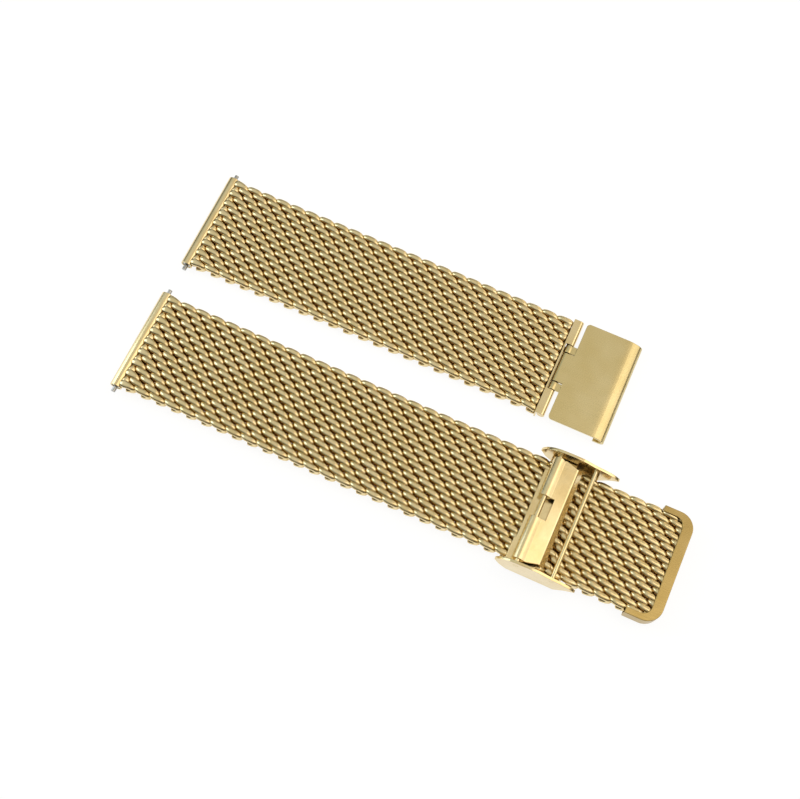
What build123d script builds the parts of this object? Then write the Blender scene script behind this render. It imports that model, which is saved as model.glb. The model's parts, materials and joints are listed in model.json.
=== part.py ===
from build123d import *
import math
import os

# A milanese mesh watch band, laid out open as its two halves, in millimetres.
# X runs along the straps towards the clasp, Y from the long half to the short one, Z up.
# Everything is placed on a bench frame first: x is 0 where the mesh meets the end tubes,
# y is 0 at the near edge of the long half, and z is 0 on the surface that the band lies on.

# Driving sizes
strap_width = 20.0
mesh_thickness = 2.4
row_pitch = 1.53
stitch_pitch = 2.29
groove_depth = 0.75
long_mesh_length = 102.4
short_mesh_length = 69.6
halves_gap = 7.1
cut_over = 1.0

# The mesh is divided into hinged sections of a few rows each, but for the tail under the clasp
rows_per_section = 4
flex_gap = 0.32
least_tail_length = 53.0

# End tubes and the spring bars inside them
tube_radius = 1.1
tube_bore_radius = 0.84
sleeve_radius = 0.75
sleeve_bore_radius = 0.62
tip_travel = 1.2
tip_radius = 0.4
tip_reach = 1.0
collar_radius = 0.72
collar_width = 0.35
collar_inset = 0.1
collar_play = 0.15
guide_radius = 0.58
guide_length = 3.6
spring_radius = 0.54
spring_wire = 0.16
spring_turns = 7
spring_steps = 6
spring_end_play = 0.02

# Clasp frame: base plate and ears
base_gauge = 0.5
slide_clearance = 0.1
ear_thickness = 0.5
ear_clearance = 0.5
clasp_set_back = 29.0
clasp_length = 14.6
clasp_height = 6.6
ear_top_shares = ((0.0, 0.49), (0.055, 0.74), (0.16, 0.93), (0.33, 1.0), (0.54, 0.985),
                  (0.65, 0.905), (0.81, 0.84), (1.0, 0.62))
ear_under_shares = ((0.88, 0.36), (0.77, 0.0), (0.16, 0.0), (0.07, 0.19))
pin_seat_gap = 0.01

# Lever, its pin and the plate it presses on
lever_pin_radius = 0.45
lever_pin_offset = 3.65
lever_pin_height = 5.0
pivot_clearance = 0.05
cam_radius = 1.08
cam_drop = 0.28
lever_gauge = 0.42
lever_side_gap = 0.25
lever_roll_slope = 32.0
lever_roll_run = 0.55
lever_plate_length = 2.35
lever_plate_slope = 6.0
lever_flange_angle = 50.0
lever_flange_length = 1.1
lever_corner_length = 2.0
lever_corner_width = 0.55
window_length = 4.2
window_depth = 1.85
clamp_gauge = 0.46
clamp_clearance = 0.08
clamp_side_gap = 0.15
clamp_reach_back = 1.7
clamp_foot_step = 0.35
clamp_foot_width = 4.6
clamp_notch_width = 2.9
clamp_notch_depth = 1.05
clamp_reach_front = 3.3

# Hook bar
hook_bar_radius = 0.4
hook_bar_offset = 10.25
hook_bar_height = 4.8

# End cap
cap_length = 6.0
cap_overhang = 0.6
cap_wall = 0.3
cap_end_lip = 1.95
cap_arm_lip = 0.85
cap_corner_radius = 3.0
cap_window_radius = 1.7
cap_play = 0.03

# Hinge and cover plate of the short half
leaf_gauge = 0.3
leaf_height = 2.4
knuckle_radius = 0.72
hinge_pin_radius = 0.4
hinge_offset = 0.85
knuckle_gap = 0.12
outer_knuckle_length = 5.2
arm_knuckle_length = 1.65
plate_gauge = 0.5
plate_over_width = 0.2
plate_set_off = 1.4
plate_flat_length = 8.5
plate_corner_radius = 0.7
arm_gauge = 0.36
arm_overlap = 0.7
edge_soft_radius = 5.0
edge_soft_angle = 20.0
hook_bend_radius = 0.8
hook_lip_length = 1.0

# Levels and offsets that follow from the driving sizes
long_mid_z = base_gauge + slide_clearance + mesh_thickness / 2
short_mid_z = mesh_thickness / 2
short_start_y = strap_width + halves_gap
tube_x = -tube_radius
section_length = rows_per_section * row_pitch
long_sections = math.floor((long_mesh_length - least_tail_length) / section_length)
short_sections = math.floor(short_mesh_length / section_length)
clasp_start = long_mesh_length - clasp_set_back
ear_inner_far = strap_width + ear_clearance
clasp_width = strap_width + 2 * (ear_clearance + ear_thickness)
mesh_top_z = long_mid_z + mesh_thickness / 2
lever_pin_x = clasp_start + lever_pin_offset
hook_bar_x = clasp_start + hook_bar_offset
hinge_x = short_mesh_length + leaf_gauge + hinge_offset
hinge_z = mesh_thickness - knuckle_radius
cap_end_x = long_mesh_length + cap_overhang

# The origin is the middle of the underside of the whole band's box
left_x = -2 * tube_radius
right_x = cap_end_x
near_y = -(ear_clearance + ear_thickness)
far_y = short_start_y + strap_width + tip_reach
to_origin = Pos(-(left_x + right_x) / 2, -(near_y + far_y) / 2, 0)


def save(shape, name):
    """Move a finished piece to the origin and write it under its own name."""
    placed = to_origin * shape
    placed.label = name
    export_step(placed, f"parts/{name}.step")


def cylinder_y(radius, length, x, y, z):
    """A round bar along Y, from y to y + length."""
    return Pos(x, y, z) * Rot(-90, 0, 0) * Cylinder(
        radius, length, align=(Align.CENTER, Align.CENTER, Align.MIN))


def block(x0, x1, y0, y1, z0, z1):
    """A box between two corners."""
    return Pos(x0, y0, z0) * Box(
        x1 - x0, y1 - y0, z1 - z0, align=(Align.MIN, Align.MIN, Align.MIN))


def flat_face(*points):
    """One flat face through its corner points."""
    return Face(Wire.make_polygon([Vector(*point) for point in points], close=True))


def stitch_faces(x, y, pitch, across, half):
    """The faces of one stitch, a domed lozenge; half is which side of it shows at a strap edge."""
    crown = mesh_thickness / 2
    rim = crown - groove_depth
    left = (x - pitch, y, rim)
    right = (x + pitch, y, rim)
    middle = (x, y, crown)
    faces = []
    for way in (1, -1):
        if half in (0, way):
            corner = (x, y + way * across / 2, rim)
            faces.append(flat_face(left, corner, middle))
            faces.append(flat_face(corner, right, middle))
    if half:
        faces.append(flat_face(left, middle, right, (x + pitch, y, -crown), (x - pitch, y, -crown)))
    return faces


def lozenge_mesh(x0, pitch, rows):
    """A run of whole rows, each half a stitch off the last, smooth on its underside."""
    count = round(strap_width / stitch_pitch + 1 / 2)
    across = strap_width / (count - 1 / 2)
    crown = mesh_thickness / 2
    rim = crown - groove_depth
    faces = []
    outline = []
    for row in range(rows):
        x = x0 + (row + 1 / 2) * pitch
        late = row % 2
        for k in range(count):
            half = 0
            if late and k == 0:
                half = 1
            if not late and k == count - 1:
                half = -1
            faces += stitch_faces(x, (k + (1 - late) / 2) * across, pitch, across, half)
    for x, way, late in ((x0 + pitch / 2, -1, 0), (x0 + (rows - 1 / 2) * pitch, 1, (rows - 1) % 2)):
        line = []
        for k in range(2 * count):
            reach = way * pitch if (k + late) % 2 else 0
            line.append((x + reach, k * across / 2))
        for first, last in zip(line, line[1:]):
            faces.append(flat_face((*first, rim), (*last, rim), (*last, -crown), (*first, -crown)))
        outline.append(line)
    start, end = outline
    near = [(x0 + (row + 1 / 2) * pitch, 0) for row in range(2, rows - 1, 2)]
    far = [(x0 + (row + 1 / 2) * pitch, strap_width) for row in range(1, rows - 1, 2)]
    under = start + far + end[::-1] + near[::-1]
    faces.append(flat_face(*[(x, y, -crown) for x, y in under]))
    return Solid(Shell(faces))


def mesh_section(rows):
    """A hinged section that starts at x = 0, drawn in by half the gap at each end."""
    return lozenge_mesh(flex_gap / 2, row_pitch - flex_gap / rows, rows)


def mesh_start(rows):
    """The first section, cut straight where it meets the end tube."""
    pitch = row_pitch - flex_gap / 2 / rows
    mesh = lozenge_mesh(-2 * pitch, pitch, rows + 2)
    return mesh & block(0, (rows + 1) * row_pitch, 0, strap_width, -mesh_thickness, mesh_thickness)


def mesh_end(x0, x1):
    """The last section, from the gap at x0 to a straight cut at x1."""
    rows = math.ceil((x1 - x0) / row_pitch) + 2
    mesh = lozenge_mesh(x0 + flex_gap / 2, row_pitch, rows)
    return mesh & block(x0 - row_pitch, x1, 0, strap_width, -mesh_thickness, mesh_thickness)


def sheet_line(start, heading, bends, offset):
    """One face line of a bent sheet, set off from its middle, and where that middle ends."""
    x, z = start
    angle = heading
    edges = []
    for size, turn in bends:
        normal = (-math.sin(math.radians(angle)), math.cos(math.radians(angle)))
        here = (x + normal[0] * offset, z + normal[1] * offset)
        if turn == 0:
            x += size * math.cos(math.radians(angle))
            z += size * math.sin(math.radians(angle))
            edges.append(Line(here, (x + normal[0] * offset, z + normal[1] * offset)))
        else:
            way = math.copysign(1, turn)
            centre = (x + normal[0] * size * way, z + normal[1] * size * way)
            radius = size - offset * way
            places = []
            for share in (1 / 2, 1):
                at = math.radians(angle + turn * share) - way * math.pi / 2
                places.append((centre[0] + radius * math.cos(at), centre[1] + radius * math.sin(at)))
            edges.append(ThreePointArc(here, *places))
            x = centre[0] + size * math.cos(at)
            z = centre[1] + size * math.sin(at)
            angle += turn
    return edges, (x, z)


def bent_sheet(start, heading, bends, gauge, y0, y1):
    """A sheet of one gauge from y0 to y1; each bend is a run and no turn, or a radius and a turn."""
    upper = sheet_line(start, heading, bends, gauge / 2)[0]
    lower = sheet_line(start, heading, bends, -gauge / 2)[0]
    closing = [Line(upper[0] @ 0, lower[0] @ 0), Line(upper[-1] @ 1, lower[-1] @ 1)]
    profile = Plane.XZ * make_face(Wire(upper + lower + closing))
    return Pos(0, y0, 0) * extrude(profile, amount=y1 - y0, dir=(0, 1, 0))


def end_tube(y0, z):
    """The polished tube across the watch end of a half."""
    tube = cylinder_y(tube_radius, strap_width, tube_x, y0, z)
    return tube - cylinder_y(tube_bore_radius, strap_width + 2 * cut_over, tube_x, y0 - cut_over, z)


def sleeve_inset():
    """How far the spring bar's sleeve stands back from each end of the end tube."""
    return collar_inset + collar_width + tip_travel + collar_play


def spring_bar_sleeve(y0, z):
    """The thin tube of the spring bar, which holds the spring and guides the tips."""
    length = strap_width - 2 * sleeve_inset()
    sleeve = cylinder_y(sleeve_radius, length, tube_x, y0 + sleeve_inset(), z)
    return sleeve - cylinder_y(
        sleeve_bore_radius, length + 2 * cut_over, tube_x, y0 + sleeve_inset() - cut_over, z)


def spring_bar_tip(y0, z, near):
    """A tip of the spring bar: pivot, collar and the guide inside the sleeve."""
    pivot = cylinder_y(tip_radius, tip_reach + collar_inset + collar_width, tube_x, y0 - tip_reach, z)
    collar = cylinder_y(collar_radius, collar_width, tube_x, y0 + collar_inset, z)
    guide = cylinder_y(
        guide_radius, sleeve_inset() - collar_inset + guide_length, tube_x, y0 + collar_inset, z)
    tip = pivot + collar + guide
    if near:
        return tip
    return mirror(tip, Plane.XZ.offset(-(y0 + strap_width / 2)))


def spring_bar_spring(y0, z):
    """The compression spring between the two guides, its turns drawn as short straight runs."""
    inset = sleeve_inset() + guide_length + spring_end_play
    rise = (strap_width - 2 * inset - spring_wire) / spring_turns / spring_steps
    rings = []
    for k in range(spring_turns * spring_steps + 1):
        at = 2 * math.pi * k / spring_steps
        y = y0 + inset + k * rise
        ring = []
        for radius, side in ((spring_radius, 0), (spring_radius, spring_wire),
                             (spring_radius - spring_wire, spring_wire), (spring_radius - spring_wire, 0)):
            ring.append((tube_x + radius * math.cos(at), y + side, z + radius * math.sin(at)))
        rings.append(ring)
    faces = [flat_face(*rings[0]), flat_face(*rings[-1])]
    for ring, other in zip(rings, rings[1:]):
        for k in range(len(ring)):
            after = (k + 1) % len(ring)
            faces.append(flat_face(ring[k], ring[after], other[k]))
            faces.append(flat_face(ring[after], other[after], other[k]))
    return Solid(Shell(faces))


def ear_profile():
    """The leaf shape of an ear, seen from the side."""
    def place(share):
        return (clasp_start + share[0] * clasp_length, share[1] * clasp_height)
    top = [place(share) for share in ear_top_shares]
    under = [place(share) for share in ear_under_shares]
    crown = Spline(*top)
    heel = Polyline(top[-1], *under, top[0])
    return make_face(Wire([crown] + heel.edges()))


def clasp_frame():
    """Base plate under the mesh, with an ear outside each edge of it, bored for the two pins."""
    ear = extrude(Plane.XZ * ear_profile(), amount=ear_thickness, dir=(0, 1, 0))
    near = Pos(0, -ear_clearance - ear_thickness, 0) * ear
    far = Pos(0, ear_inner_far, 0) * ear
    base_start = clasp_start + ear_under_shares[2][0] * clasp_length
    base_end = clasp_start + ear_under_shares[1][0] * clasp_length
    base = block(base_start, base_end, -ear_clearance - ear_thickness / 2,
                 ear_inner_far + ear_thickness / 2, 0, base_gauge)
    frame = near + far + base
    bore_y = near_y - cut_over
    bore_length = clasp_width + 2 * cut_over
    frame -= cylinder_y(lever_pin_radius + pin_seat_gap, bore_length, lever_pin_x, bore_y, lever_pin_height)
    frame -= cylinder_y(hook_bar_radius + pin_seat_gap, bore_length, hook_bar_x, bore_y, hook_bar_height)
    return frame


def lock_lever():
    """The flap: an eccentric roll round the pin that runs out into a flat face and a folded flange."""
    y0 = lever_side_gap
    y1 = strap_width - lever_side_gap
    roll = cylinder_y(cam_radius, y1 - y0, lever_pin_x, y0, lever_pin_height - cam_drop)
    leave = math.radians(lever_roll_slope)
    reach = cam_radius - lever_gauge / 2
    start = (lever_pin_x + reach * math.sin(leave), lever_pin_height - cam_drop + reach * math.cos(leave))
    bends = ((lever_roll_run, 0), (lever_gauge, lever_roll_slope - lever_plate_slope),
             (lever_plate_length, 0), (lever_gauge, lever_plate_slope - lever_flange_angle),
             (lever_flange_length, 0))
    flap = bent_sheet(start, -lever_roll_slope, bends, lever_gauge, y0, y1)
    lever = roll + flap
    bore = lever_pin_radius + pivot_clearance
    lever -= cylinder_y(bore, y1 - y0 + 2 * cut_over, lever_pin_x, y0 - cut_over, lever_pin_height)
    window_y = (strap_width - window_length) / 2 + clamp_foot_step
    window_x = lever_pin_x - cam_radius - cut_over
    lever -= block(window_x, lever_pin_x + window_depth, window_y, window_y + window_length,
                   0, clasp_height)
    corner_x = sheet_line(start, -lever_roll_slope, bends[:3], 0)[1][0]
    corner = make_face(Polyline(
        (corner_x - lever_corner_length, y1), (corner_x, y1 - lever_corner_width),
        (corner_x + cut_over + lever_flange_length, y1 - lever_corner_width),
        (corner_x + cut_over + lever_flange_length, y1 + cut_over),
        (corner_x - lever_corner_length, y1 + cut_over), close=True))
    wedge = extrude(corner, amount=clasp_height)
    lever -= wedge
    lever -= mirror(wedge, Plane.XZ.offset(-strap_width / 2))
    return lever


def clamp_plate():
    """The thin plate between the lever's roll and the mesh."""
    x0 = lever_pin_x - clamp_reach_back
    x1 = lever_pin_x + clamp_reach_front
    y0 = -ear_clearance + clamp_side_gap
    y1 = strap_width + ear_clearance - clamp_side_gap
    outline = make_face(Polyline(
        (x0 - clamp_foot_step, y0), (x0 - clamp_foot_step, y0 + clamp_foot_width - clamp_foot_step),
        (x0, y0 + clamp_foot_width), (x0, y1 - clamp_notch_width),
        (x0 + clamp_notch_depth, y1 - clamp_notch_width + clamp_foot_step),
        (x0 + clamp_notch_depth, y1), (x1, y1), (x1, y0), close=True))
    return Pos(0, 0, mesh_top_z + clamp_clearance) * extrude(outline, amount=clamp_gauge)


def end_cap():
    """The U-shaped trim crimped over the free end of the mesh, with rounded corners."""
    x0 = cap_end_x - cap_length
    top = mesh_thickness / 2 + cap_wall
    body = block(x0, cap_end_x, -cap_wall, strap_width + cap_wall, long_mid_z - top, long_mid_z + top)
    corners = body.edges().filter_by(Axis.Z).group_by(Axis.X)[-1]
    body = fillet(corners, cap_corner_radius)
    slot = block(x0 - cut_over, long_mesh_length + cap_play, -cap_play, strap_width + cap_play,
                 long_mid_z - mesh_thickness / 2 - cap_play, long_mid_z + mesh_thickness / 2 + cap_play)
    inner = slot.edges().filter_by(Axis.Z).group_by(Axis.X)[-1]
    slot = fillet(inner, cap_corner_radius - cap_wall)
    window = block(x0 - cut_over, cap_end_x - cap_end_lip, cap_arm_lip, strap_width - cap_arm_lip,
                   long_mid_z - top - cut_over, long_mid_z + top + cut_over)
    window = fillet(window.edges().filter_by(Axis.Z).group_by(Axis.X)[-1], cap_window_radius)
    return body - slot - window


def tail_mesh():
    """The last run of the long half, on which the clasp slides, rounded to fit in the end cap."""
    mesh = mesh_end(long_sections * section_length, long_mesh_length)
    keep = block(0, long_mesh_length, 0, strap_width, -mesh_thickness, mesh_thickness)
    keep = fillet(keep.edges().filter_by(Axis.Z).group_by(Axis.X)[-1], cap_corner_radius - cap_wall)
    return mesh & keep


def hinge_leaf():
    """The end bar of the short mesh, rolled into a long knuckle at each side."""
    y0 = short_start_y
    y1 = short_start_y + strap_width
    x0 = short_mesh_length
    leaf = block(x0, x0 + leaf_gauge, y0, y1, short_mid_z - leaf_height / 2, short_mid_z + leaf_height / 2)
    for start in (y0, y1 - outer_knuckle_length):
        leaf += cylinder_y(knuckle_radius, outer_knuckle_length, hinge_x, start, hinge_z)
        leaf += block(x0, hinge_x, start, start + outer_knuckle_length,
                      hinge_z + knuckle_radius - leaf_gauge, hinge_z + knuckle_radius)
    bore = hinge_pin_radius + pin_seat_gap
    return leaf - cylinder_y(bore, strap_width + 2 * cut_over, hinge_x, y0 - cut_over, hinge_z)


def cover_plate():
    """The brushed plate, from the knuckles on its hinge pin to the hook at its free edge."""
    y0 = short_start_y - plate_over_width / 2
    y1 = short_start_y + strap_width + plate_over_width / 2
    arm_start = short_start_y + outer_knuckle_length + knuckle_gap
    arm_end = short_start_y + strap_width - outer_knuckle_length - knuckle_gap
    tongue_start = arm_start + arm_knuckle_length
    tongue_end = arm_end - arm_knuckle_length
    top_z = hinge_z + knuckle_radius
    under_z = top_z - plate_gauge
    plate_start = hinge_x + plate_set_off
    plate_bends = ((plate_flat_length, 0), (edge_soft_radius, -edge_soft_angle),
                   (hook_bend_radius, edge_soft_angle - 180), (hook_lip_length, 0))
    plate = bent_sheet((plate_start, top_z - plate_gauge / 2), 0, plate_bends, plate_gauge, y0, y1)
    corners = plate.edges().filter_by(Axis.Z).group_by(Axis.X)[0]
    plate = fillet(corners, plate_corner_radius)
    plate += block(hinge_x, plate_start + arm_overlap, tongue_start + knuckle_gap / 2,
                   tongue_end - knuckle_gap / 2, under_z, top_z)
    plate += cylinder_y(knuckle_radius, tongue_end - tongue_start - knuckle_gap, hinge_x,
                        tongue_start + knuckle_gap / 2, hinge_z)
    for side in (arm_start, tongue_end + knuckle_gap):
        length = arm_knuckle_length - knuckle_gap
        plate += cylinder_y(knuckle_radius, length, hinge_x, side, hinge_z)
        plate += block(hinge_x, plate_start + arm_overlap, side, side + length, under_z, under_z + arm_gauge)
    bore = hinge_pin_radius + pivot_clearance
    return plate - cylinder_y(bore, strap_width + 2 * cut_over, hinge_x, y0 - cut_over, hinge_z)


def build_spring_bar(half, y0, z):
    """The end tube of one half and the four pieces of its spring bar."""
    save(end_tube(y0, z), f"{half}_end_tube")
    save(spring_bar_sleeve(y0, z), f"{half}_spring_bar_sleeve")
    save(spring_bar_spring(y0, z), f"{half}_spring_bar_spring")
    save(spring_bar_tip(y0, z, True), f"{half}_spring_bar_tip_near")
    save(spring_bar_tip(y0, z, False), f"{half}_spring_bar_tip_far")


def build_long_half():
    """End tube, mesh sections, tail and end cap of the long half."""
    build_spring_bar("long", 0, long_mid_z)
    lift = Pos(0, 0, long_mid_z)
    save(lift * mesh_start(rows_per_section), "long_mesh_01")
    middle = mesh_section(rows_per_section)
    for k in range(1, long_sections):
        save(lift * Pos(k * section_length, 0, 0) * middle, f"long_mesh_{k + 1:02d}")
    save(lift * tail_mesh(), "long_mesh_tail")
    save(end_cap(), "end_cap")


def build_clasp():
    """The sliding clasp on the long half."""
    save(clasp_frame(), "clasp_frame")
    save(cylinder_y(lever_pin_radius, clasp_width, lever_pin_x, near_y, lever_pin_height), "lever_pin")
    save(lock_lever(), "lock_lever")
    save(clamp_plate(), "clamp_plate")
    save(cylinder_y(hook_bar_radius, clasp_width, hook_bar_x, near_y, hook_bar_height), "hook_bar")


def build_short_half():
    """End tube, mesh sections, hinge and cover plate of the short half."""
    build_spring_bar("short", short_start_y, short_mid_z)
    lift = Pos(0, short_start_y, short_mid_z)
    save(lift * mesh_start(rows_per_section), "short_mesh_01")
    middle = mesh_section(rows_per_section)
    for k in range(1, short_sections - 1):
        save(lift * Pos(k * section_length, 0, 0) * middle, f"short_mesh_{k + 1:02d}")
    last = mesh_end((short_sections - 1) * section_length, short_mesh_length)
    save(lift * last, f"short_mesh_{short_sections:02d}")
    save(hinge_leaf(), "hinge_leaf")
    save(cylinder_y(hinge_pin_radius, strap_width, hinge_x, short_start_y, hinge_z), "hinge_pin")
    save(cover_plate(), "cover_plate")


os.makedirs("parts", exist_ok=True)
build_long_half()
build_clasp()
build_short_half()
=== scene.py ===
import json
import math

import bmesh
import bpy
import numpy as np
from mathutils import Euler, Matrix, Vector


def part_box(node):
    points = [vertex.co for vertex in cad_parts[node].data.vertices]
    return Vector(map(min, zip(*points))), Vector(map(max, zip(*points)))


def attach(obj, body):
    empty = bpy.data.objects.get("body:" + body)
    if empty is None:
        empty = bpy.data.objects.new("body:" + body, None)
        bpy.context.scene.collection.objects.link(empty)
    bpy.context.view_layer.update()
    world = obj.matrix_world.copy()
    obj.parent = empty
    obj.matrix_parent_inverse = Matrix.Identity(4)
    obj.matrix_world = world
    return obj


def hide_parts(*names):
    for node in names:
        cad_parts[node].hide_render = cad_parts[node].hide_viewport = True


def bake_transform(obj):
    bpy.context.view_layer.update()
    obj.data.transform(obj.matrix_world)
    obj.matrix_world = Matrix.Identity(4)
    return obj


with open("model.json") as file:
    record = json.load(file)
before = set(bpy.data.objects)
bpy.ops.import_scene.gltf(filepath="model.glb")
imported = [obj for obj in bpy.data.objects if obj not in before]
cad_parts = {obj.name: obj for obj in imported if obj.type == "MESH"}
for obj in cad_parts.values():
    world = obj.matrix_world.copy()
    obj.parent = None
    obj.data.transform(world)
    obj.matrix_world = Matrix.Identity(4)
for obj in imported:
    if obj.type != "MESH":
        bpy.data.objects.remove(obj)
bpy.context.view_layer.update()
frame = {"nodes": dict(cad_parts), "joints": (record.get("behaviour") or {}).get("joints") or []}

# Woven mesh
# The strap of each half is milanese mesh: gold plated stainless steel wire, wound into flat
# spirals that run across the strap. Each spiral is screwed into the last one, half a stitch
# off it, and the finished weave is rolled, which leaves a small land on top of every stitch.

WIRE_DIAMETER = 1.0          # mm
WIRE_REACH = 0.8             # mm, from the middle of the strap to the middle of the wire
STITCH_REACH = 1.5           # mm, from the middle of a stitch to the middle of the wire in its bends
BEND_REACH = 1.2             # mm of that which the bend takes, so its curve is a flat one
STITCHES = 9
ROWS_PER_SECTION = 4
DRAWN_WIDTH = 1.08           # the wire is drawn slightly oval
LAND_SPREAD = 0.1            # how much wider the rolls leave the wire at the top of a stitch
LAND_LENGTH = 1.4            # mm, from the middle of a stitch to where it has its drawn width again
LAND_LEAN = 0.08             # how far a stitch moves on for each mm of wire, in the middle of its land
EDGE_EASE = 0.5              # turns over which a spiral's lean dies out at the strap's edge
PRESS_SPREAD = 0.5           # how much wider the wire is pressed where the mesh is soldered in
PRESS_LENGTH = 1.4           # mm, from the end of the mesh to where that dies out
POINTS_PER_TURN = 24
WIRE_SIDES = 12
DOME = ((0.35, 0.65), (0.5, 0.1))         # how far out and how wide its rings are, in wire radii
PAINTED_SHADE_LOW = 0.2             # of the strap's half thickness, below which the wire is painted in full shade
PAINTED_SHADE_HIGH = 0.6            # of it, above which the wire is painted fully lit
PAINTED_SHADE_EDGE = 2              # wires in from the strap's edge, within which the wires' outer sides are painted lit too
LONG_SECTIONS = 8            # and the tail
SHORT_SECTIONS = 11
TUBE_REACH = 0.38            # mm, how far the cut loops run into the end tube
LEAF_SHORTFALL = 0.2         # mm, how far before the hinge leaf they start to dome, so their tips meet it
CAP_CORNER = 2.7             # mm, the radius of the long mesh's corners in the end cap


def colour(hexadecimal):
    """The linear colour of an sRGB hex value."""
    value = hexadecimal.lstrip("#")
    parts = [int(value[k:k + 2], 16) / 255 for k in (0, 2, 4)]
    return [p / 12.92 if p <= 0.04045 else ((p + 0.055) / 1.055) ** 2.4 for p in parts] + [1.0]


def new_material(name):
    """An empty material with its output, and the tree that its nodes go in."""
    material = bpy.data.materials.new(name)
    material.use_nodes = True
    material.node_tree.nodes.clear()
    return material, material.node_tree


def add(tree, kind, inputs=None, **settings):
    """Adds a shader node with its own settings; inputs are values or sockets of other nodes."""
    made = tree.nodes.new("ShaderNode" + kind)
    for name, value in settings.items():
        setattr(made, name, value)
    for name, value in (inputs or {}).items():
        if isinstance(value, bpy.types.NodeSocket):
            tree.links.new(value, made.inputs[name])
        else:
            made.inputs[name].default_value = value
    return made


def ramp(tree, factor, *stops):
    """A colour ramp on a factor, each stop a place and a hex colour."""
    made = add(tree, "ValToRGB", {"Fac": factor})
    elements = made.color_ramp.elements
    while len(elements) < len(stops):
        elements.new(1.0)
    for element, (place, tone) in zip(elements, stops):
        element.position = place
        element.color = colour(tone)
    return made.outputs["Color"]


def new_object(name, vertices, faces, material):
    """A mesh object from points in millimetres, smooth shaded."""
    mesh = bpy.data.meshes.new(name)
    mesh.from_pydata((np.asarray(vertices) / 1000).tolist(), [], faces)
    mesh.materials.append(material)
    mesh.shade_smooth()
    made = bpy.data.objects.new(name, mesh)
    bpy.context.scene.collection.objects.link(made)
    return made


def wire_material():
    """Gold plate on drawn wire: satin on the lands, with a warm, dark painted shade down between the
    stitches.
    """
    material, tree = new_material("gold_plated_woven_wire")
    place = add(tree, "TexCoord").outputs["Object"]
    # The plate is a little uneven in tone from stitch to stitch, over about 2 mm
    tone = add(tree, "TexNoise", {"Vector": place, "Scale": 450.0, "Detail": 2.0}).outputs["Fac"]
    gold = ramp(tree, tone, (0.3, "#E6D09A"), (0.7, "#EFDCAE"))
    # Painted shade: down between the wires and on their flanks the plate is painted darker and browner,
    # where shade falls
    height = add(tree, "Attribute", attribute_name="painted_light_share").outputs["Fac"]
    unshaded_share = add(tree, "MapRange", {"Value": height, "From Min": 0.25, "From Max": 0.75}).outputs["Result"]
    # The brown here is the colour of the painted shade
    shaded = add(tree, "MixRGB", {"Fac": unshaded_share, "Color1": colour("#BE9448"), "Color2": gold})
    # Drawing leaves fine lines of about 0.1 mm, which only catch the light close up
    lines = add(tree, "TexNoise", {"Vector": place, "Scale": 9000.0, "Detail": 1.0}).outputs["Fac"]
    bump = add(tree, "Bump", {"Height": lines, "Strength": 0.12, "Distance": 0.00002})
    rough = add(tree, "MapRange", {"Value": tone, "To Min": 0.18, "To Max": 0.3}).outputs["Result"]
    surface = add(tree, "BsdfPrincipled", {
        "Base Color": shaded.outputs["Color"], "Metallic": 1.0, "Roughness": rough,
        "Normal": bump.outputs["Normal"]})
    add(tree, "OutputMaterial", {"Surface": surface.outputs["BSDF"]})
    return material


def spiral_line(x_middle, late, strap):
    """The middle line of one flat spiral across the strap, and how wide the wire is, in diameters."""
    half_run = STITCH_REACH - BEND_REACH
    bend = math.pi * (WIRE_REACH + BEND_REACH) / 2
    around = 4 * half_run + 2 * bend
    # An even row starts and ends under the strap, and an odd one half way up its side
    turns = STITCHES - late / 2
    share = np.linspace(0, turns, round(turns * POINTS_PER_TURN) + 1)
    travel = (share * around + 3 * half_run + bend + (2 * half_run + bend) * 1.5 * late) % around
    first = travel < 2 * half_run
    second = (travel >= 2 * half_run) & (travel < 2 * half_run + bend)
    third = (travel >= 2 * half_run + bend) & (travel < 4 * half_run + bend)
    turn_down = (travel - 2 * half_run) / bend * math.pi
    turn_up = (travel - 4 * half_run - bend) / bend * math.pi
    x = np.select([first, second, third], [
        travel - half_run, half_run + BEND_REACH * np.sin(turn_down),
        3 * half_run + bend - travel], -half_run - BEND_REACH * np.sin(turn_up))
    z = np.select([first, second, third], [
        WIRE_REACH, WIRE_REACH * np.cos(turn_down), -WIRE_REACH], -WIRE_REACH * np.cos(turn_up))
    # The lean of the stitches dies out in the last loop at each edge, which closes it
    inward = np.minimum(share, turns - share)
    eased = np.clip((inward - EDGE_EASE / 2) / EDGE_EASE, 0, 1)
    lean = eased * eased * (3 - 2 * eased)
    # A stitch crosses its land almost straight, and moves on to the next one in its bends
    pitch = 2 * strap["half_width"] / (STITCHES - 1 / 2)
    swing = np.abs(np.sin(2 * np.select([first | third, second], [0, turn_down], turn_up)))
    lean *= (LAND_LEAN + (pitch - LAND_LEAN * around) * math.pi / (4 * bend) * swing) * around
    along = np.concatenate([[0], np.cumsum((lean[1:] + lean[:-1]) / 2 * np.diff(share))])
    y = strap["middle"] - (along - along[-1] / 2)
    rolled = np.clip(1 - (x / LAND_LENGTH) ** 2, 0, 1) * (np.abs(z) > WIRE_REACH / 2)
    to_end = np.minimum(x_middle + x - strap["start"], strap["end"] - x_middle - x)
    pressed = np.clip(1 - to_end / PRESS_LENGTH, 0, 1)
    wide = DRAWN_WIDTH + LAND_SPREAD * rolled + PRESS_SPREAD * pressed
    return np.stack([x_middle + x, y, strap["z"] + z], axis=1), wide


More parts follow.
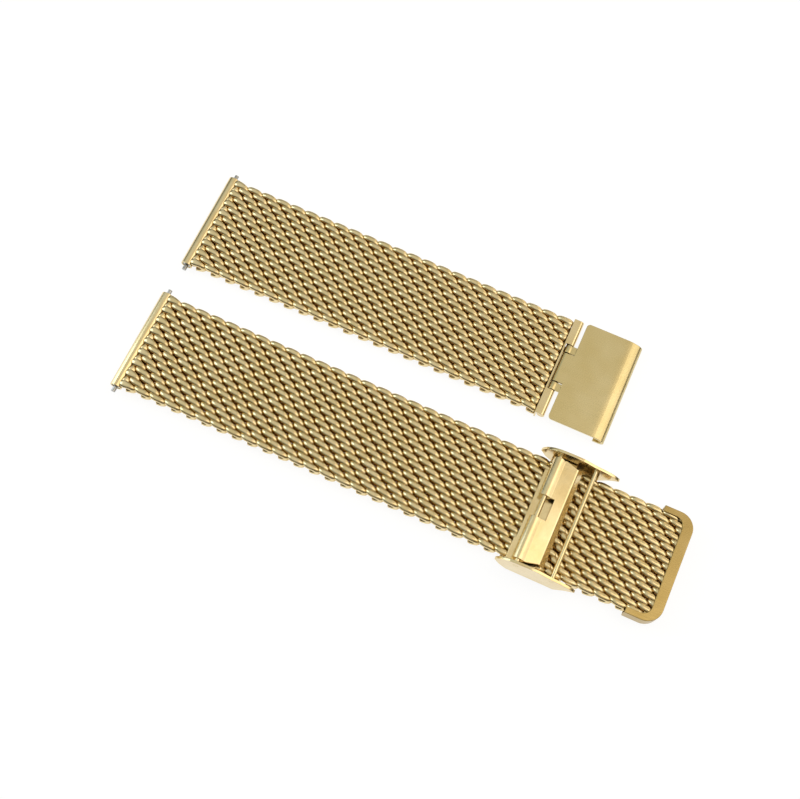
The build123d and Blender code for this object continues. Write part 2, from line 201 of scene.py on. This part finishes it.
def sweep_wire(line, wide, vertices, faces):
    """Adds a wire with domed ends along a line, wider where it was rolled or pressed."""
    radius = WIRE_DIAMETER / 2
    tangent = np.gradient(line, axis=0)
    tangent /= np.linalg.norm(tangent, axis=1)[:, None]
    side = np.array([0.0, 1.0, 0.0]) - tangent * tangent[:, 1:2]
    side /= np.linalg.norm(side, axis=1)[:, None]
    normal = np.cross(tangent, side)
    rings = [(line[0] - tangent[0] * radius * out, 0, share) for out, share in reversed(DOME)]
    rings += [(point, k, 1.0) for k, point in enumerate(line)]
    rings += [(line[-1] + tangent[-1] * radius * out, -1, share) for out, share in DOME]
    start = len(vertices)
    around = np.arange(WIRE_SIDES) * 2 * math.pi / WIRE_SIDES
    for centre, k, share in rings:
        ring = np.outer(np.cos(around), side[k]) * wide[k] + np.outer(np.sin(around), normal[k])
        vertices.extend(centre + ring * radius * share)
    for k in range(len(rings) - 1):
        for j in range(WIRE_SIDES):
            a = start + k * WIRE_SIDES + j
            b = start + k * WIRE_SIDES + (j + 1) % WIRE_SIDES
            faces.append((a, b, b + WIRE_SIDES, a + WIRE_SIDES))
    faces.append([start + j for j in range(WIRE_SIDES)][::-1])
    faces.append([start + (len(rings) - 1) * WIRE_SIDES + j for j in range(WIRE_SIDES)])


def weave(name, node, body, rows, strap, keep):
    """One woven run: its spirals, cut where keep says, and rolled to the strap's thickness."""
    vertices = []
    faces = []
    for row in rows:
        line, wide = spiral_line(strap["start"] + (row + 0.5) * row_pitch, row % 2, strap)
        inside = keep(line[:, 0], line[:, 1])
        edges = np.flatnonzero(np.diff(np.concatenate([[False], inside, [False]]).astype(int)))
        for begin, end in zip(edges[::2], edges[1::2]):
            # One or two points are too short a run for a wire
            if end - begin > 2:
                sweep_wire(line[begin:end], wide[begin:end], vertices, faces)
    points = np.array(vertices)
    height = points[:, 2] - strap["z"]
    land = strap["thickness"] / 2
    points[:, 2] = strap["z"] + np.clip(height, -land, land)
    made = new_object(name, points, faces, wire)
    # Painted shade: how lit each point is painted, fully where it faces out near a face or an edge, in shade
    # deeper down
    normals = np.empty(points.size)
    made.data.vertex_normals.foreach_get("vector", normals)
    normals = normals.reshape(-1, 3)
    across = points[:, 1] - strap["middle"]
    edge = np.clip((np.abs(across) - strap["half_width"]) / WIRE_DIAMETER + PAINTED_SHADE_EDGE, 0, 1)
    level = np.clip((np.abs(height) / land - PAINTED_SHADE_LOW) / (PAINTED_SHADE_HIGH - PAINTED_SHADE_LOW), 0, 1)
    from_face = level * normals[:, 2] * np.sign(height)
    from_edge = edge * normals[:, 1] * np.sign(across)
    unshaded_share = np.clip(np.maximum(from_face, from_edge), 0, 1)
    made.data.attributes.new("painted_light_share", "FLOAT", "POINT").data.foreach_set("value", unshaded_share)
    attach(made, body)
    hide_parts(node)


def strap_facts(first, last):
    """Where one half's mesh starts and ends, its middle and its thickness, in millimetres."""
    low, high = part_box(first)
    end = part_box(last)[1]
    return {"start": low.x * 1000, "end": end.x * 1000, "middle": (low.y + high.y) * 500,
            "half_width": (high.y - low.y) * 500, "z": (low.z + high.z) * 500,
            "thickness": (high.z - low.z) * 1000}


wire = wire_material()
long_strap = strap_facts("long_mesh_01", "long_mesh_tail")
short_strap = strap_facts("short_mesh_01", "short_mesh_11")
first_hinge = [joint for joint in frame["joints"] if joint["child"] == "long_mesh_02"][0]
row_pitch = (first_hinge["pos_m"][0] * 1000 - long_strap["start"]) / ROWS_PER_SECTION


def keep_long(x, y):
    """The long mesh runs from the end tube to the rounded end cap."""
    radius = CAP_CORNER - WIRE_DIAMETER / 2
    right = long_strap["end"] - WIRE_DIAMETER / 2
    corner_x = right - radius
    corner_y = long_strap["half_width"] - WIRE_DIAMETER / 2 - radius
    off_x = np.maximum(x - corner_x, 0)
    off_y = np.maximum(np.abs(y - long_strap["middle"]) - corner_y, 0)
    return (x > long_strap["start"] - TUBE_REACH) & (x < right) & (off_x ** 2 + off_y ** 2 < radius ** 2)


def keep_short(x, y):
    """The short mesh runs from the end tube to the hinge leaf, where its loops are soldered."""
    return (x > short_strap["start"] - TUBE_REACH) & (x < short_strap["end"] - LEAF_SHORTFALL)


long_rows = round((long_strap["end"] - long_strap["start"]) / row_pitch)
short_rows = math.ceil((short_strap["end"] - short_strap["start"]) / row_pitch) + 1
# The first section of each half has one more row, whose cut loops end in the tube
for k in range(LONG_SECTIONS):
    body = "root" if k == 0 else f"long_mesh_{k + 1:02d}"
    rows = range(k * ROWS_PER_SECTION - (k == 0), (k + 1) * ROWS_PER_SECTION)
    weave(f"long_weave_{k + 1:02d}", f"long_mesh_{k + 1:02d}", body, rows, long_strap, keep_long)
rows = range(LONG_SECTIONS * ROWS_PER_SECTION, long_rows)
weave("long_weave_tail", "long_mesh_tail", "long_tail", rows, long_strap, keep_long)
for k in range(SHORT_SECTIONS):
    last = k == SHORT_SECTIONS - 1
    body = "short_base" if k == 0 else "short_end" if last else f"short_mesh_{k + 1:02d}"
    rows = range(k * ROWS_PER_SECTION - (k == 0), short_rows if last else (k + 1) * ROWS_PER_SECTION)
    weave(f"short_weave_{k + 1:02d}", f"short_mesh_{k + 1:02d}", body, rows, short_strap, keep_short)

# End tubes and spring bars
# A polished tube is soldered across the watch end of each half. The spring bar inside it is a
# plain steel sleeve with a spring and two sprung tips, turned on a lathe.


GAP_DEPTH = 0.4              # mm
WELD = 0.0005                # mm, points closer together than this are one
FLAT_DEGREES = 1.0           # faces that meet at less than this are one
EDGE_DEGREES = 28.0          # the least angle of an edge that tumbling breaks
EDGE_SEGMENTS = 3
SHARP_DEGREES = 40.0         # the least angle of an edge that is still shaded sharp


def painted_shade_in_gaps(tree, gold):
    """The same colour, but with a brown painted shade in gaps of a few tenths of a millimetre."""
    clear = add(tree, "AmbientOcclusion", {"Distance": GAP_DEPTH / 1000}, samples=8).outputs["AO"]
    unshaded_share = add(tree, "MapRange", {"Value": clear, "From Min": 0.15, "From Max": 0.55}).outputs["Result"]
    return add(tree, "MixRGB", {"Fac": unshaded_share, "Color1": colour("#5A431F"), "Color2": gold}).outputs["Color"]


def polished_material():
    """Polished gold plate: near mirror, with the faint waviness that a buffing wheel leaves."""
    material, tree = new_material("polished_gold_plate")
    place = add(tree, "TexCoord").outputs["Object"]
    wave = add(tree, "TexNoise", {"Vector": place, "Scale": 300.0, "Detail": 2.0}).outputs["Fac"]
    bump = add(tree, "Bump", {"Height": wave, "Strength": 0.1, "Distance": 0.00003})
    scuff = add(tree, "TexNoise", {"Vector": place, "Scale": 1500.0, "Detail": 3.0}).outputs["Fac"]
    rough = add(tree, "MapRange", {"Value": scuff, "To Min": 0.12, "To Max": 0.24}).outputs["Result"]
    # Painted shade: the gold turns brown in narrow gaps, where shade falls
    gold = painted_shade_in_gaps(tree, ramp(tree, wave, (0.3, "#E6CF9A"), (0.7, "#EDDAAC")))
    surface = add(tree, "BsdfPrincipled", {
        "Base Color": gold, "Metallic": 1.0, "Roughness": rough, "Normal": bump.outputs["Normal"]})
    add(tree, "OutputMaterial", {"Surface": surface.outputs["BSDF"]})
    return material


def steel_material():
    """Plain turned stainless steel, grey, with fine lathe rings round the bar."""
    material, tree = new_material("turned_stainless_steel")
    place = add(tree, "TexCoord").outputs["Object"]
    rings = add(tree, "TexWave", {"Vector": place, "Scale": 4000.0, "Distortion": 1.0}, bands_direction="Y")
    bump = add(tree, "Bump", {"Height": rings.outputs["Fac"], "Strength": 0.1, "Distance": 0.00001})
    tone = add(tree, "TexNoise", {"Vector": place, "Scale": 800.0}).outputs["Fac"]
    grey = ramp(tree, tone, (0.3, "#A9A8A4"), (0.7, "#BDBCB8"))
    surface = add(tree, "BsdfPrincipled", {
        "Base Color": grey, "Metallic": 1.0, "Roughness": 0.3, "Normal": bump.outputs["Normal"]})
    add(tree, "OutputMaterial", {"Surface": surface.outputs["BSDF"]})
    return material


def piece_from(shape, name, material):
    """A piece from a worked solid in metres, smooth shaded up to its sharp edges."""
    mesh = bpy.data.meshes.new(name)
    shape.to_mesh(mesh)
    shape.free()
    mesh.materials.append(material)
    mesh.shade_smooth()
    mesh.set_sharp_from_angle(angle=math.radians(SHARP_DEGREES))
    made = bpy.data.objects.new(name, mesh)
    bpy.context.scene.collection.objects.link(made)
    return made


def is_sharp(edge):
    """Whether two faces of the piece meet at an edge that tumbling breaks."""
    return len(edge.link_faces) == 2 and edge.calc_face_angle() > math.radians(EDGE_DEGREES)


def softened(name, node, body, material, radius):
    """A piece with the CAD node's shape, its edges broken to a small radius as tumbling leaves them."""
    shape = bmesh.new()
    shape.from_mesh(frame["nodes"][node].data)
    bmesh.ops.scale(shape, vec=(1000, 1000, 1000), verts=shape.verts)
    bmesh.ops.remove_doubles(shape, verts=shape.verts, dist=WELD)
    bmesh.ops.dissolve_limit(shape, angle_limit=math.radians(FLAT_DEGREES), verts=shape.verts,
                             edges=shape.edges)
    sharp = [edge for edge in shape.edges if is_sharp(edge)]
    bmesh.ops.bevel(shape, geom=sharp, offset=radius, segments=EDGE_SEGMENTS, profile=0.6,
                    affect="EDGES", clamp_overlap=True)
    bmesh.ops.scale(shape, vec=(0.001, 0.001, 0.001), verts=shape.verts)
    made = piece_from(shape, name, material)
    # The large faces keep their own flat shading right up to the broken edges
    even = made.modifiers.new("even_faces", "WEIGHTED_NORMAL")
    even.keep_sharp = True
    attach(made, body)
    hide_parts(node)
    return made


def spring_half(half, end):
    """One half of a coil spring, from its own tip to the middle of the bar."""
    node = f"{half}_spring_bar_spring"
    low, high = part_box(node)
    middle = (low + high) / 2
    outer = Vector((middle.x, low.y if end == "near" else high.y, middle.z))
    shape = bmesh.new()
    shape.from_mesh(frame["nodes"][node].data)
    everything = shape.verts[:] + shape.edges[:] + shape.faces[:]
    inward = middle - outer
    bmesh.ops.bisect_plane(shape, geom=everything, plane_co=middle, plane_no=inward, clear_outer=True)
    bmesh.ops.holes_fill(shape, edges=[edge for edge in shape.edges if edge.is_boundary])
    made = piece_from(shape, f"{half}_spring_{end}_half", steel)
    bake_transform(made)
    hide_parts(node)


polished = polished_material()
steel = steel_material()
for half, body in (("long", "root"), ("short", "short_base")):
    softened(f"{half}_tube", f"{half}_end_tube", body, polished, 0.08)
    for piece in ("sleeve", "tip_near", "tip_far"):
        bare = frame["nodes"][f"{half}_spring_bar_{piece}"]
        bare.data.materials.clear()
        bare.data.materials.append(steel)
    spring_half(half, "near")
    spring_half(half, "far")

# End cap
# A strip of gold plated steel is folded round the free end of the long mesh and crimped on.
# It is brushed along the strap, so the lines cross the strip at its end and follow its two arms.


def brushed_material(name, tones):
    """Gold plate over brushed steel: fine straight lines along the strap, as the brush ran."""
    material, tree = new_material(name)
    place = add(tree, "TexCoord").outputs["Object"]
    # The grit leaves lines about 0.05 mm apart, drawn twice as coarse so that they show
    stretched = add(tree, "Mapping", {"Vector": place, "Scale": (120.0, 9000.0, 9000.0)}).outputs["Vector"]
    lines = add(tree, "TexNoise", {"Vector": stretched, "Scale": 1.0, "Detail": 3.0}).outputs["Fac"]
    cloud = add(tree, "TexNoise", {"Vector": place, "Scale": 220.0, "Detail": 1.0}).outputs["Fac"]
    bump = add(tree, "Bump", {"Height": lines, "Strength": 0.1, "Distance": 0.00002})
    rough = add(tree, "MapRange", {"Value": lines, "From Min": 0.3, "From Max": 0.7,
                                   "To Min": 0.24, "To Max": 0.34}).outputs["Result"]
    # Painted shade: the gold turns brown in narrow gaps, where shade falls
    gold = painted_shade_in_gaps(tree, ramp(tree, cloud, (0.3, tones[0]), (0.7, tones[1])))
    surface = add(tree, "BsdfPrincipled", {
        "Base Color": gold, "Metallic": 1.0, "Roughness": rough, "Normal": bump.outputs["Normal"]})
    add(tree, "OutputMaterial", {"Surface": surface.outputs["BSDF"]})
    return material


# Painted shade: the cap's tones are darker than the cover plate's, which is the same gold plate
brushed_cap = brushed_material("gold_plate_brushed_cap", ("#B69C60", "#BFA66E"))
softened("crimped_end_cap", "end_cap", "long_tail", brushed_cap, 0.12)

# Clasp frame, its pin and hook bar
# The base plate slides under the mesh, and its two ears stand up beside it, stamped from one
# sheet and polished. The pin and the hook bar are turned rods held in the ears.

softened("clasp_ears", "clasp_frame", "clasp", polished, 0.15)
softened("lever_pivot", "lever_pin", "clasp", polished, 0.08)
softened("hook_rod", "hook_bar", "clasp", polished, 0.08)

# Lock lever
# A flap of polished sheet rolled round the pin, with a window where a fingernail or a blade
# lifts it, and a flange folded down along its free edge.

softened("lever_flap", "lock_lever", "lever", polished, 0.07)

# Clamp plate
# A thin stamped plate under the lever's roll, which bites on the mesh when the lever is shut.

softened("clamp_strip", "clamp_plate", "clamp", polished, 0.08)

# Hinge and cover plate
# The leaf is soldered on the end of the short mesh, and the cover plate turns on its pin. The
# plate is brushed along the strap and curls under at its free edge to catch the hook bar.

EASE_RUN = 3.2               # mm, from the plate's free edge to where it starts to ease down
EASE_DROP = 0.5              # mm
EASE_STEPS = 10


def ease_to_curl(mesh):
    """Lets the flat sheet ease down before its curl, as the press leaves it."""
    shape = bmesh.new()
    shape.from_mesh(mesh)
    low = min(v.co.z for v in shape.verts)
    top = max(v.co.z for v in shape.verts)
    run = EASE_RUN / 1000
    start = max(v.co.x for v in shape.verts) - run
    for k in range(EASE_STEPS):
        everything = shape.verts[:] + shape.edges[:] + shape.faces[:]
        cut = (start + run * k / EASE_STEPS, 0, 0)
        bmesh.ops.bisect_plane(shape, geom=everything, plane_co=cut, plane_no=(1, 0, 0))
    for v in shape.verts:
        eased = (max(v.co.x - start, 0) / run) ** 2
        v.co.z -= EASE_DROP / 1000 * eased * (v.co.z - low) / (top - low)
    shape.to_mesh(mesh)
    shape.free()


FOOT_LOW = (19.48, 8.95, 0.0)             # mm, along the bottom of the leaf's upright web
FOOT_HIGH = (19.85, 18.6, 0.2)            # mm


def add_foot(mesh):
    """Turns the bottom of the leaf's web out under the knuckles, so no light comes up between them."""
    low = Vector(FOOT_LOW) / 1000
    high = Vector(FOOT_HIGH) / 1000
    shape = bmesh.new()
    shape.from_mesh(mesh)
    place = Matrix.LocRotScale((low + high) / 2, None, high - low)
    bmesh.ops.create_cube(shape, size=1.0, matrix=place)
    shape.to_mesh(mesh)
    shape.free()


leaf = softened("hinge_leaf_bar", "hinge_leaf", "short_end", polished, 0.07)
add_foot(leaf.data)
softened("hinge_rod", "hinge_pin", "short_end", polished, 0.06)
brushed_plate = brushed_material("gold_plate_brushed_plate", ("#D8C58E", "#DFCE9C"))
plate = softened("cover_plate_sheet", "cover_plate", "cover", brushed_plate, 0.07)
ease_to_curl(plate.data)

# Studio
# A plain pale floor, soft lamps and the camera of the photograph.

CAMERA_LENS = 54.0
CAMERA_TARGET = (-4.08, -3.73, 0.0)       # mm
CAMERA_DISTANCE = 218.81                  # mm
CAMERA_ELEVATION = 70.07
CAMERA_AZIMUTH = 21.0
CAMERA_ROLL = 3.51
FLOOR_REACH = 900            # mm
FLOOR_DEPTH = 0.05           # mm, under the part's lowest face
FLOOR_WHITE = 0.8            # share of plain white that the camera and clear reflections see
FLOOR_GLOW = 1.12            # strength of that white, so the floor as a whole is just white


def floor_material():
    """A pale matt floor that is white to the camera, and still takes the object's soft shadow."""
    material, tree = new_material("pale_floor")
    path = add(tree, "LightPath").outputs
    seen = add(tree, "Math", {0: path["Is Camera Ray"], 1: path["Is Glossy Ray"]}, operation="MAXIMUM")
    either = add(tree, "Math", {0: seen.outputs[0], 1: path["Is Transmission Ray"]}, operation="MAXIMUM")
    share = add(tree, "Math", {0: either.outputs[0], 1: FLOOR_WHITE}, operation="MULTIPLY")
    matt = add(tree, "BsdfDiffuse", {"Color": colour("#F4F4F4")})
    glow = add(tree, "Emission", {"Color": (1, 1, 1, 1), "Strength": FLOOR_GLOW})
    both = add(tree, "MixShader", {0: share.outputs[0], 1: matt.outputs[0], 2: glow.outputs[0]})
    add(tree, "OutputMaterial", {"Surface": both.outputs[0]})
    return material


corners = [(x * FLOOR_REACH, y * FLOOR_REACH, -FLOOR_DEPTH) for x, y in ((-1, -1), (1, -1), (1, 1), (-1, 1))]
floor = new_object("studio_floor", corners, [(0, 1, 2, 3)], floor_material())


def soft_lamp(name, place, aim, size, radiance, tint):
    """A rectangular soft lamp in millimetres that faces its aim, as bright as a surface of that radiance."""
    data = bpy.data.lights.new(name, "AREA")
    data.shape = "RECTANGLE"
    data.size = size[0] / 1000
    data.size_y = size[1] / 1000
    data.energy = radiance * math.pi * data.size * data.size_y
    data.color = colour(tint)[:3]
    made = bpy.data.objects.new(name, data)
    made.location = Vector(place) / 1000
    made.rotation_euler = (Vector(aim) - Vector(place)).to_track_quat("-Z", "Y").to_euler()
    bpy.context.scene.collection.objects.link(made)


soft_lamp("cool_left", (-430, -20, 200), (-10, 0, 0), (260, 460), 2.1, "#E6F4FF")
soft_lamp("warm_top_right", (155, 30, 430), (20, 0, 0), (180, 180), 1.0, "#FFF4E0")
soft_lamp("warm_right", (330, 120, 290), (30, 0, 0), (280, 300), 1.15, "#FFF9EE")
soft_lamp("warm_back_right", (160, 400, 220), (20, 0, 0), (300, 150), 1.1, "#FFE9CC")

# The room is pale overhead and darker towards its walls, which gives the metal its contrast
world = bpy.data.worlds.new("soft_room")
world.use_nodes = True
room = world.node_tree
way = add(room, "SeparateXYZ", {"Vector": add(room, "TexCoord").outputs["Generated"]}).outputs
level = ramp(room, way["Z"], (0.1, "#5A5A5A"), (0.5, "#A8A8A8"), (0.85, "#E4E4E4"))
# The photographer's side is dark, and shows as the thin dark lines on the near flank of each wire
front = add(room, "MapRange", {"Value": way["Y"], "From Min": -0.8, "From Max": 0.0, "To Min": 0.3})
shaded = add(room, "MixRGB", {"Fac": 1.0, "Color1": level, "Color2": front.outputs["Result"]},
             blend_type="MULTIPLY")
side = add(room, "MapRange", {"Value": way["X"], "From Min": -0.5, "From Max": 0.5}).outputs["Result"]
tint = ramp(room, side, (0.0, "#F2F8F4"), (1.0, "#FFF0DA"))
both = add(room, "MixRGB", {"Fac": 1.0, "Color1": shaded.outputs["Color"], "Color2": tint},
           blend_type="MULTIPLY")
# To the camera itself the room is as white as the floor
white = add(room, "MixRGB", {"Fac": add(room, "LightPath").outputs["Is Camera Ray"],
                             "Color1": both.outputs["Color"], "Color2": colour("#FFFFFF")})
room.links.new(white.outputs["Color"], room.nodes["Background"].inputs["Color"])
bpy.context.scene.world = world

lens = bpy.data.cameras.new("photo_camera")
lens.lens = CAMERA_LENS
lens.sensor_width = 36.0
lens.sensor_fit = "HORIZONTAL"
lens.clip_start = 0.01
lens.clip_end = 10.0
camera = bpy.data.objects.new("photo_camera", lens)
turn = Euler((math.radians(90 - CAMERA_ELEVATION), 0, math.radians(CAMERA_AZIMUTH)), "XYZ").to_matrix()
camera.location = Vector(CAMERA_TARGET) / 1000 + turn @ Vector((0, 0, CAMERA_DISTANCE / 1000))
roll = Euler((0, 0, math.radians(CAMERA_ROLL)), "XYZ").to_matrix()
camera.rotation_euler = (turn @ roll).to_euler()
bpy.context.scene.collection.objects.link(camera)
bpy.context.scene.camera = camera
bpy.context.scene.view_settings.view_transform = "Standard"
